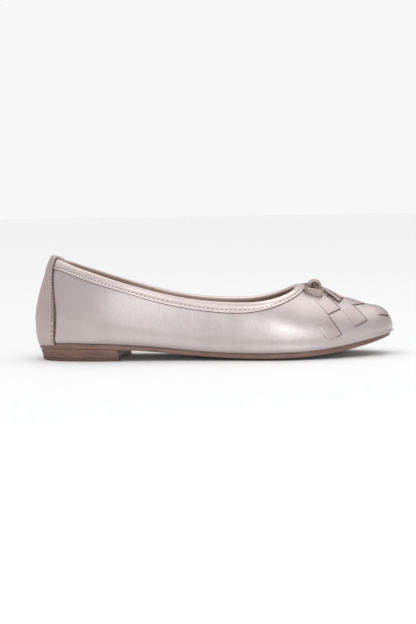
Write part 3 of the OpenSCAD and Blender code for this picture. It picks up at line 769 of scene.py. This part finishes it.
class Heap:
    """Collects many small closed tubes into one object."""

    def __init__(self):
        self.verts, self.faces, self.ids = [], [], []

    def add(self, rings, material):
        base = len(self.verts)
        cols, rows = rings.shape[:2]
        self.verts += list(rings.reshape(-1, 3))
        new = quads(cols, rows, False, True, base)
        new += [[base + r for r in range(rows)][::-1], [base + (cols - 1) * rows + r for r in range(rows)]]
        self.faces += new
        self.ids += [material] * len(new)

    def build(self, name, materials, sharp=60):
        return new_object(name, np.array(self.verts), self.faces, self.ids, materials, sharp)


def add_stitch(heap, p, q, n, radius=0.25):
    """A thread that rises from one hole and dips into the next, with a dark disc behind it at the needle
    hole: painted shade of the hole.
    """
    along = q - p
    length = np.linalg.norm(along)
    along = along / length
    n = n - along * (n @ along)
    n /= np.linalg.norm(n)
    f = np.linspace(0, 1, 7)
    rise = np.sin(np.pi * f) ** 0.5
    centres = p + np.outer(f, along) * length + np.outer(rise * 1.0 - 0.75, n) * radius
    radii = radius * (0.55 + 0.45 * rise)
    heap.add(bead_chain(centres, [along] * 7, [n] * 7, radii), 0)
    # a flat dark disc at the next needle hole: painted shade of the hole
    hole = q + along * 0.42
    centres = hole + np.outer([-0.3, 0.06, 0.08], n)
    flat = bead_chain(centres, [n] * 3, [along] * 3, [0.62, 0.62, 0.46], 8)
    heap.add(flat, 1)


def make_stitches():
    heap = Heap()
    steps = BINDING_STITCHES
    d = BIND_OUT - BIND_T + 0.26
    w = STITCH_ROW
    for side in (-1.0, 1.0):
        u = np.degrees(np.arcsin(np.arange(1, steps) / steps)) / 90
        v = np.degrees(np.arcsin(np.minimum((np.arange(1, steps) + 0.58) / steps, 1))) / 90
        p, q, out = tape_point(u, side, w, d), tape_point(v, side, w, d), tape_point(u, side, w, d - 2)
        for i in range(steps - 1):
            add_stitch(heap, p[i], q[i], out[i] - p[i])
    finish_piece(heap.build("binding_thread", [M_THREAD, M_HOLE_SHADE]), "thread", "binding_stitching")
    heap = Heap()
    for side in (-1.0, 1.0):
        share = -side * PANEL_ROW
        _, band = panel_marks(share)
        ts = np.concatenate([np.linspace(-0.8, 0, 6, endpoint=False), np.linspace(0.0, 0.93, 20)])
        ts = np.where(ts > 0, ts * band, ts)
        for t0, t1 in zip(ts[:-1], ts[1:]):
            d = BIND_OUT - 0.88
            p, q = panel_point(share, t0, d), panel_point(share, blend(t0, t1, 0.62), d)
            add_stitch(heap, p, q, panel_point(share, t0, d - 2) - p, 0.24)
    finish_piece(heap.build("heel_panel_thread", [M_THREAD, M_HOLE_SHADE]), "thread", "heel_panel_stitching")


# ---- Woven toe ----------------------------------------------------------------------------------

STRIPS = [(0, -1, 3), (-1, 0, 4), (-2, 1, 5), (-3, 2, 4), (-4, 3, 3)]
WEAVE_X = 77.8
CELL_ALONG = 9.3
CELL_ACROSS = 9.6
MIDDLE_CELL = 3.65
STRIP_T = 0.6


def soft_limit(value, start, room):
    """The value itself up to start, then ever smaller steps that never fill the room beyond it."""
    past = np.maximum(value - start, 0)
    return np.minimum(value, start) + past / (1 + past / room)


def toe_point(i, j, d):
    """A point of the toe in cell coordinates, at a depth."""
    i, j, d = np.broadcast_arrays(np.asarray(i, float), j, d)
    x = soft_limit(WEAVE_X + CELL_ALONG * (i + j) + LENGTH / 2, LENGTH - 5, 1.2)
    share = x / LENGTH
    a = np.degrees(np.arccos(1 - 2 * share))
    arc = CELL_ACROSS * (MIDDLE_CELL - (i - j))
    w = foot(a, 1, 0)[1] - curve(SPINE, share)
    h = crown(share, a, 0) - equator(share, a, 0)
    p = np.full_like(x, 45.0)
    for _ in range(4):
        mean = sum(m * np.hypot(w * cosd(p * f), h * sind(p * f))
                   for m, f in ((1, 0), (4, 0.5), (1, 1))) / 6
        p = np.degrees(np.abs(arc) / mean)
    return last(a, np.where(arc > 0, -1.0, 1.0), -soft_limit(p / 90 - 1, 0.35, 0.3), d)


def make_strip(number):
    j, first, final = STRIPS[number - 1]
    steps = np.unique(np.round(np.concatenate(
        [np.arange(first - 0.4, final + 1.41, 0.05)]
        + [k + np.array([0, .009, .018, .027, .06, .918, .973, .982, .991])
           for k in range(first, final + 2)]), 6))
    steps = steps[steps <= final + 1.4]
    v = np.array([.03, .036, .06, .1, .2, .3, .4, .5, .6, .7, .8, .88, .93, .955, .966, .97])
    cell = np.floor(steps + 1e-6)
    over = ((cell + j) % 2 == 1) & (cell >= first) & (cell <= final)
    u = np.maximum(steps - cell, 0)
    slit = np.where(over, smooth(u / 0.027) * smooth((1 - u) / 0.027), 0)[:, None]
    lift = 0.18 + 0.62 * (1 - (1 - u[:, None] ** 2.2) * (1 - v[None] ** 2.2))
    edge = np.minimum(np.minimum(u, 1 - u)[:, None], np.minimum(v - 0.03, 0.97 - v)[None])
    lift += (0.16 * np.clip(edge / 0.1, 0, 1) ** 0.5
             + 0.1 * np.sin(np.pi * u)[:, None] * np.sin(np.pi * v)[None])
    under = LEATHER_T + 0.1
    depth = blend(under, -lift, slit)
    top = toe_point(steps[:, None], j + v[None], depth)
    bottom = toe_point(steps[:, None], j + v[None], depth + STRIP_T)
    # the top faces near each raised square's right and lower edges take the raw edge colour: partly the
    # cut edge, partly painted shade along those edges
    strip = shell(f"woven_strip_{number}", top, bottom, [M_STRIP_SHADED, M_RAW_EDGE_AND_SHADE], sharp=35,
                  raw=lambda c, r: over[c] and (u[c] > 0.91 or r >= len(v) - 4))
    finish_piece(strip, "pearl_leather", f"weave_strip_{number}")


# ---- Bottom -------------------------------------------------------------------------------------

BREAST = 0.2255
BREAST_SKEW = 6.0
STACK_TOP = 11.2 - SOLE_T - 0.3
TOP_PIECE_T = 2.6


def angle_at(share):
    return np.degrees(np.arccos(1 - 2 * np.asarray(share, float)))


def rung(a_out, a_in, inset, f):
    xo, yo = foot(a_out, -1.0, inset)
    xi, yi = foot(a_in, 1.0, inset)
    g = (f + 1) / 2
    return blend(xo, xi, g), blend(yo, yi, g)


def dip(share, f):
    return curve(TREAD_DIP, share) * (1 - f * f)


def loops_solid(name, loops, materials, ids=None, sharp=35):
    """A solid from closed loops of points whose first and last loops have no area."""
    loops = np.asarray(loops)
    cols, rows = loops.shape[:2]
    faces = quads(cols, rows, False, True)
    face_ids = [ids(c, r) if ids else 0 for c in range(cols - 1) for r in range(rows)]
    return new_object(name, loops.reshape(-1, 3), faces, face_ids, materials, sharp)


def make_outsole():
    a = np.concatenate([[0, 2, 4, 7], np.linspace(10, 96, 50), np.linspace(97, 150, 150),
                        np.linspace(151, 176, 26), [178, 180]])
    f_low = np.linspace(-1, 1, 61)
    f_low[0], f_low[-1] = -0.999, 0.999
    edge = [(1.0, 2.15), (0.93, 1.9), (0.8, 1.8), (0.5, 1.76), (0.24, 1.8), (0.14, 1.86),
            (0.1, 2.25), (0.0, 2.3)]
    f_top = np.linspace(1, -1, 7)[1:-1]
    loops = []
    for k in a:
        points = []
        x0, y0 = rung(k, k, 2.5, f_low)
        share = x0 / LENGTH
        thick = SOLE_T * curve(SOLE_SHARE, share)
        # shallow ribs across the tread, inside a plain border
        inside = smooth((0.86 - np.abs(f_low)) / 0.06)
        zone = smooth((share - 0.5) / 0.02) * smooth((0.9 - share) / 0.02)
        wave = 0.5 + 0.5 * np.tanh(3 * np.sin(2 * math.pi * (x0 - 3 * f_low ** 2) / 3.6))
        groove = 0.32 * inside * zone * wave
        z0 = feather(share) - thick - dip(share, f_low) + groove
        points += list(np.stack([x0 - LENGTH / 2, y0, z0], -1))
        for side in (1.0, -1.0):
            rows = []
            for t, inset in edge:
                x, y = foot(k, side, inset)
                z = feather(x / LENGTH) - t * SOLE_T * curve(SOLE_SHARE, x / LENGTH)
                rows.append(np.array([x - LENGTH / 2, y, z]))
            if side > 0:
                points += rows
                x1, y1 = rung(k, k, 3.5, f_top)
                share1 = x1 / LENGTH
                z1 = feather(share1) - 0.05 - dip(share1, f_top)
                points += list(np.stack([x1 - LENGTH / 2, y1, z1], -1))
            else:
                points += rows[::-1]
        loops.append(points)
    low = len(f_low)
    sole = loops_solid("outsole_edge_and_tread", loops, [M_SOLE, M_TREAD], lambda c, r: int(r < low - 1))
    finish_piece(sole, "sole", "outsole")


def heel_point(share, inset, f):
    """Plan point of the heel: share 0 at the back, 1 at the hollow slanted breast."""
    x, y = rung(angle_at(BREAST) * share, angle_at(BREAST + BREAST_SKEW / LENGTH) * share, inset, f)
    return x - LENGTH / 2 - 1.6 * (1 - f * f) * share ** 4, y


def lift_inset(z):
    return blend(4.6, 2.2, z / (STACK_TOP + 1))


def heel_solid(name, z_high, z_low, materials, follow_sole=False, tread=False):
    shares = np.concatenate([[0, .02, .05], np.linspace(.09, 1, 34)])
    f = np.linspace(-1, 1, 33)
    z_top = STACK_TOP if follow_sole else z_high
    height = z_top - z_low
    rows = [(0.0, 0.22), (0.06, 0.06), (0.18, 0.0), (0.82, 0.0), (0.94, 0.06), (1.0, 0.22)]
    loops = []
    for share in shares:
        points = []
        extra = 0.22 * smooth((share - 0.96) / 0.04)
        x, y = heel_point(share, lift_inset(z_low) + 0.22, f)
        groove = 0
        if tread:
            wave = 0.5 + 0.5 * np.tanh(3 * np.sin(2 * math.pi * x / 4.2))
            groove = (0.35 * wave * smooth((0.82 - np.abs(f)) / 0.08)
                      * smooth((0.93 - share) / 0.04) * smooth((share - 0.12) / 0.05))
        points += list(np.stack([x - extra, y, np.full_like(x, z_low) + groove], -1))
        for side in (1.0, -1.0):
            edge = []
            for t, back in rows:
                z = z_low + height * t
                xe, ye = heel_point(share, lift_inset(z) + back, side)
                if follow_sole:
                    s = xe / LENGTH + 0.5
                    under = feather(s) - SOLE_T * curve(SOLE_SHARE, s) - 0.12
                    z = z_low + (under - z_low) * t
                edge.append(np.array([xe - (back if share > 0.99 else 0), ye, z]))
            if side > 0:
                points += edge
                fx = np.linspace(1, -1, 9)[1:-1]
                xt, yt = heel_point(share, lift_inset(z_top) + 0.22, fx)
                zt = np.full_like(xt, z_high)
                if follow_sole:
                    s = xt / LENGTH + 0.5
                    zt = feather(s) - SOLE_T * curve(SOLE_SHARE, s) - 0.12
                points += list(np.stack([xt - extra, yt, zt], -1))
            else:
                points += edge[::-1]
        loops.append(points)
    loops = np.asarray(loops)
    cols, rows_n = loops.shape[:2]
    # the last loop is the breast
    faces = quads(cols, rows_n, False, True)
    faces.append([(cols - 1) * rows_n + r for r in range(rows_n)])
    return new_object(name, loops.reshape(-1, 3), faces, [0] * len(faces), materials, 35)


def make_heel():
    z = [blend(STACK_TOP, TOP_PIECE_T, n / 3) for n in range(4)]
    for n in (1, 2, 3):
        piece = heel_solid(f"heel_stack_lift_{n}", z[n - 1] - 0.05, z[n] + 0.05, [M_SOLE], n == 1)
        finish_piece(piece, "sole", f"heel_lift_{n}")
    piece = heel_solid("heel_rubber_top_piece", TOP_PIECE_T - 0.05, 0.0, [M_TOP_PIECE], tread=True)
    finish_piece(piece, "top_piece", "heel_top_piece")


PAD_END = 0.26


def pad_step(share):
    return 2.05 * smooth((0.325 - share) / (0.325 - PAD_END))


def make_insock():
    a = np.concatenate([[1.5, 3, 6, 10], np.linspace(14, 150, 90), np.linspace(152, 161.5, 8)])
    f = np.sin(np.radians(np.linspace(-90, 90, 33)))
    inset = INNER_D + 1
    top, low = [], []
    for k in a:
        x, y = rung(k, k, inset, f)
        share = x / LENGTH
        # the footbed is cupped a little, with a soft rounded edge
        cup = 0.5 * f ** 4 - 0.45 * np.abs(f) ** 40
        z = feather(share) + BOARD_TOP + pad_step(share)
        top.append(np.stack([x - LENGTH / 2, y, z + 1 + cup], -1))
        low.append(np.stack([x - LENGTH / 2, y, z], -1))
    insock = shell("insock_leather_sheet", np.array(top), np.array(low), [M_INSOCK, M_RAW_EDGE_AND_SHADE])
    finish_piece(insock, "lining", "insock")
    a = np.concatenate([[1.5, 4, 8], np.linspace(12, float(angle_at(PAD_END)), 40)])
    f = np.sin(np.radians(np.linspace(-90, 90, 25)))
    top, low = [], []
    for k in a:
        x, y = rung(k, k, INNER_D + 4.5, f)
        share = x / LENGTH
        ease = (np.sqrt(np.clip(1 - f ** 6, 0, 1)) * math.sqrt(max(1 - (k / a[-1]) ** 10, 0))
                * min(k / 12, 1) ** 0.3)
        z = feather(share) + BOARD_TOP + 0.02
        top.append(np.stack([x - LENGTH / 2, y, z + 0.5 + 1.4 * ease], -1))
        low.append(np.stack([x - LENGTH / 2, y, z], -1))
    pad = shell("heel_pad_foam", np.array(top), np.array(low), [M_FOAM, M_FOAM])
    finish_piece(pad, "foam", "heel_pad")


# ---- Bow ----------------------------------------------------------------------------------------

BOW_X = 70.0
TAPE_T = 1.1
# each tail: start ahead of the bow, start to the side, length, drift to the side (- is outer)
TAILS = [(3.5, 1.2, 15.2, -12.6), (5.0, -7.0, 11.8, -9.0)]
LOOP_TAPE_W = 5.8
TAIL_TAPE_W = 3.7
# each turn of the knot: shift ahead and to the side, reach ahead and up, width, angle, puff
KNOT_TURNS = [(0.1, 0.0, 4.7, 4.9, 8.4, 0.0, 3.4), (0.1, 0.0, 3.3, 3.6, 9.0, 0.0, 3.0),
              (-1.3, -1.4, 3.9, 4.4, 4.6, 42.0, 1.2), (1.5, 0.8, 3.5, 3.9, 4.2, -38.0, 1.2)]


def vamp_z(x, y, d=0.0):
    """Height of the vamp above a point of the plan."""
    share = np.asarray(x, float) / LENGTH + 0.5
    a = angle_at(share)
    middle = curve(SPINE, share)
    side = np.where(np.asarray(y) < middle, -1.0, 1.0)
    fx, fy = foot(a, side, d)
    w = np.hypot(fx - (x + LENGTH / 2), fy - middle)
    n = curve(ARCH, share)
    q = equator(share, a, d)
    c = np.minimum(np.abs(y - middle) / w, 1)
    return feather(share) + q + (crown(share, a, d) - q) * (1 - c ** n) ** (1 / n)


def unit(v):
    v = np.asarray(v, float)
    return v / np.linalg.norm(v, axis=-1, keepdims=True)


def tape_solid(name, centres, across, thick, width, taper, puff=0.0):
    """A flat tape swept along centres, raw along its two edges and arched across by puff."""
    v = np.array([-1, -0.95, -0.86, -0.72, -0.55, -0.35, -0.15, 0.15, 0.35, 0.55, 0.72, 0.86, 0.95, 1])
    crown_v = 0.55 + (1 - np.abs(v) ** 6) * 0.5
    arch = puff * (np.sqrt(1 - 0.85 * v ** 2) - 1)
    faces_out, faces_in = [], []
    for c, up, n, share in zip(centres, across, thick, taper):
        w = width * share / 2
        faces_out.append(c + np.outer(v * w, up) + np.outer(arch + TAPE_T / 2 * crown_v, n))
        faces_in.append(c + np.outer(v * w, up) + np.outer(arch - TAPE_T / 2 * crown_v, n))
    return shell(name, np.array(faces_out), np.array(faces_in), [M_BOW, M_RAW_EDGE_AND_SHADE], sharp=50,
                 raw=lambda c, r: r in (0, len(v) - 2))


def vamp_normal(x, y):
    h = 0.5
    dx = (vamp_z(x + h, y) - vamp_z(x - h, y)) / (2 * h)
    dy = (vamp_z(x, y + h) - vamp_z(x, y - h)) / (2 * h)
    return unit(np.stack([-dx, -dy, np.ones_like(dx)], -1))


def make_bow():
    middle = float(curve(SPINE, 0.78))
    loops = []
    for side in (-1.0, 1.0):
        g = np.radians(np.linspace(-160, 160, 57))
        out = (1 + np.cos(g)) / 2
        reach = 3.0 + 16.8 * out ** 0.68
        # a drop-shaped loop: round outside, drawn together where it enters the knot
        x = BOW_X - 1.3 + np.sin(g) * 9.2 * (0.25 + 0.75 * out ** 1.3)
        y = middle + side * reach
        low = vamp_z(x, y) + 0.1
        high = 47.9 - 0.17 * (x - 68.7) + 0.12 * (19.8 - reach)
        tall = np.clip(high - low, 3.0, LOOP_TAPE_W)
        up = unit(np.tile([0, side * 0.06, 1], (len(x), 1)))
        centres = np.stack([x, y, low], -1) + up * (tall / 2)[:, None]
        path = unit(np.gradient(centres, axis=0))
        thick = unit(np.cross(path, up)) * side
        loops.append(tape_solid("loop", centres, up, thick, LOOP_TAPE_W, tall / LOOP_TAPE_W))
    finish_piece(join("bow_loop_tapes", loops), "bow_tape", "bow_loops")
    # the knot: a wide turn over the loops with a second inside it, and two crossing turns
    base = np.array([BOW_X + 0.3, middle, float(vamp_z(BOW_X, middle)) + 0.9])
    parts = []
    for shift_x, shift_y, reach_x, reach_z, tape_w, turn, puff in KNOT_TURNS:
        g = np.radians(np.linspace(-25, 205, 41))
        ahead = np.array([cosd(turn), sind(turn), 0])
        wide = np.array([-sind(turn), cosd(turn), 0.0])
        centres = base + np.array([shift_x, shift_y, 0]) + np.outer(np.cos(g) * reach_x, ahead)
        centres[:, 2] += np.sin(g) * reach_z
        path = unit(np.gradient(centres, axis=0))
        thick = unit(np.cross(path, wide))
        thick *= np.sign(np.sum(thick * (centres - base), -1, keepdims=True) + 1e-9)
        pinch = 1 - 0.3 * np.abs(np.cos(g)) ** 2
        parts.append(tape_solid("turn", centres, [wide] * len(g), thick, tape_w, pinch, puff))
    finish_piece(join("bow_knot_tape", parts), "bow_tape", "bow_knot")
    parts = []
    for start_x, start_y, length, drift in TAILS:
        t = np.linspace(0, 1, 26)
        x = BOW_X + start_x + length * t
        y = middle + start_y + drift * t
        up = vamp_normal(x, y)
        ground = np.stack([x, y, vamp_z(x, y)], -1)
        centres = ground + up * (0.95 + 1.1 * (1 - t) ** 1.5)[:, None]
        along = unit(np.gradient(centres, axis=0))
        across = unit(np.cross(up, along))
        parts.append(tape_solid("tail", centres, across, np.cross(along, across), TAIL_TAPE_W,
                                0.75 + 0.25 * smooth(t * 3)))
    finish_piece(join("bow_tail_tapes", parts), "bow_tape", "bow_tails")


make_upper()
make_linings()
make_binding()
make_panel()
make_stitches()
for strip_number in range(1, 6):
    make_strip(strip_number)
make_outsole()
make_heel()
make_insock()
make_bow()


# ---- Stage, light and camera --------------------------------------------------------------------

def make_stage():
    bpy.ops.mesh.primitive_plane_add(size=30, location=(0, 0, -0.0001))
    floor = bpy.context.object
    floor.name = "floor"
    g = Graph("floor_white")
    g.set(base=(0.8, 0.8, 0.8), rough=0.6, specular=0.1)
    floor.data.materials.append(g.material)


def area_light(name, place, target, size, power, colour=(1, 1, 1)):
    light = bpy.data.lights.new(name, "AREA")
    light.shape = "RECTANGLE"
    light.size, light.size_y = size
    light.energy = power
    light.color = colour
    obj = bpy.data.objects.new(name, light)
    obj.location = place
    obj.rotation_euler = (Vector(target) - Vector(place)).to_track_quat("-Z", "Y").to_euler()
    obj.visible_camera = False
    bpy.context.scene.collection.objects.link(obj)


def make_light():
    world = bpy.data.worlds.new("studio")
    bpy.context.scene.world = world
    world.use_nodes = True
    nodes, links = world.node_tree.nodes, world.node_tree.links
    background = nodes["Background"]
    coordinates = nodes.new("ShaderNodeTexCoord")
    split = nodes.new("ShaderNodeSeparateXYZ")
    links.new(coordinates.outputs["Generated"], split.inputs[0])
    ramp = nodes.new("ShaderNodeValToRGB")
    # light by height: a pale horizon, a dimmer wall above it and a soft bright ceiling
    stops = [(0.0, 0.7), (0.12, 0.62), (0.3, 0.42), (0.6, 0.68), (0.8, 1.68)]
    while len(ramp.color_ramp.elements) < len(stops):
        ramp.color_ramp.elements.new(0.5)
    for element, (place, level) in zip(ramp.color_ramp.elements, stops):
        element.position = place
        element.color = (level, level, level, 1)
    links.new(split.outputs["Z"], ramp.inputs["Fac"])
    path = nodes.new("ShaderNodeLightPath")
    mix = nodes.new("ShaderNodeMix")
    mix.data_type = "RGBA"
    links.new(path.outputs["Is Camera Ray"], mix.inputs["Factor"])
    links.new(ramp.outputs["Color"], mix.inputs[6])
    mix.inputs[7].default_value = (0.93, 0.93, 0.93, 1)
    links.new(mix.outputs[2], background.inputs["Color"])
    background.inputs["Strength"].default_value = 1.0
    area_light("front_box", (0.45, -1.5, 0.36), (0.01, 0, 0.02), (1.2, 0.5), 3.2, (0.93, 0.98, 1))
    area_light("low_box", (0.2, -1.15, 0.18), (0.04, 0, 0.03), (0.8, 0.2), 2.5, (0.9, 0.98, 1))
    area_light("top_box", (0.1, -0.1, 1.5), (0.02, 0, 0.03), (1.4, 1.0), 1.8)


# the camera stands 0.95 m from the shoe, where one pixel of the 624 rows spans 0.705 mm
CAMERA_DISTANCE = 0.95
PIXEL_SPAN = 0.000705
IMAGE_HEIGHT = 624
SENSOR_HEIGHT = 36


def make_camera():
    camera = bpy.data.cameras.new("camera")
    camera.sensor_fit = "VERTICAL"
    camera.sensor_height = SENSOR_HEIGHT
    camera.lens = CAMERA_DISTANCE / PIXEL_SPAN / IMAGE_HEIGHT * SENSOR_HEIGHT
    camera.clip_start = 0.01
    obj = bpy.data.objects.new("camera", camera)
    eye, target = Vector((0, -CAMERA_DISTANCE, 0.105)), Vector((-0.0049, 0, 0.0312))
    obj.location = eye
    turn = (target - eye).to_track_quat("-Z", "Y").to_matrix()
    roll = math.radians(-0.9)
    obj.rotation_euler = (turn @ Matrix.Rotation(roll, 3, "Z")).to_euler()
    bpy.context.scene.collection.objects.link(obj)
    bpy.context.scene.camera = obj


make_stage()
make_light()
make_camera()
bpy.context.scene.view_settings.view_transform = "Standard"
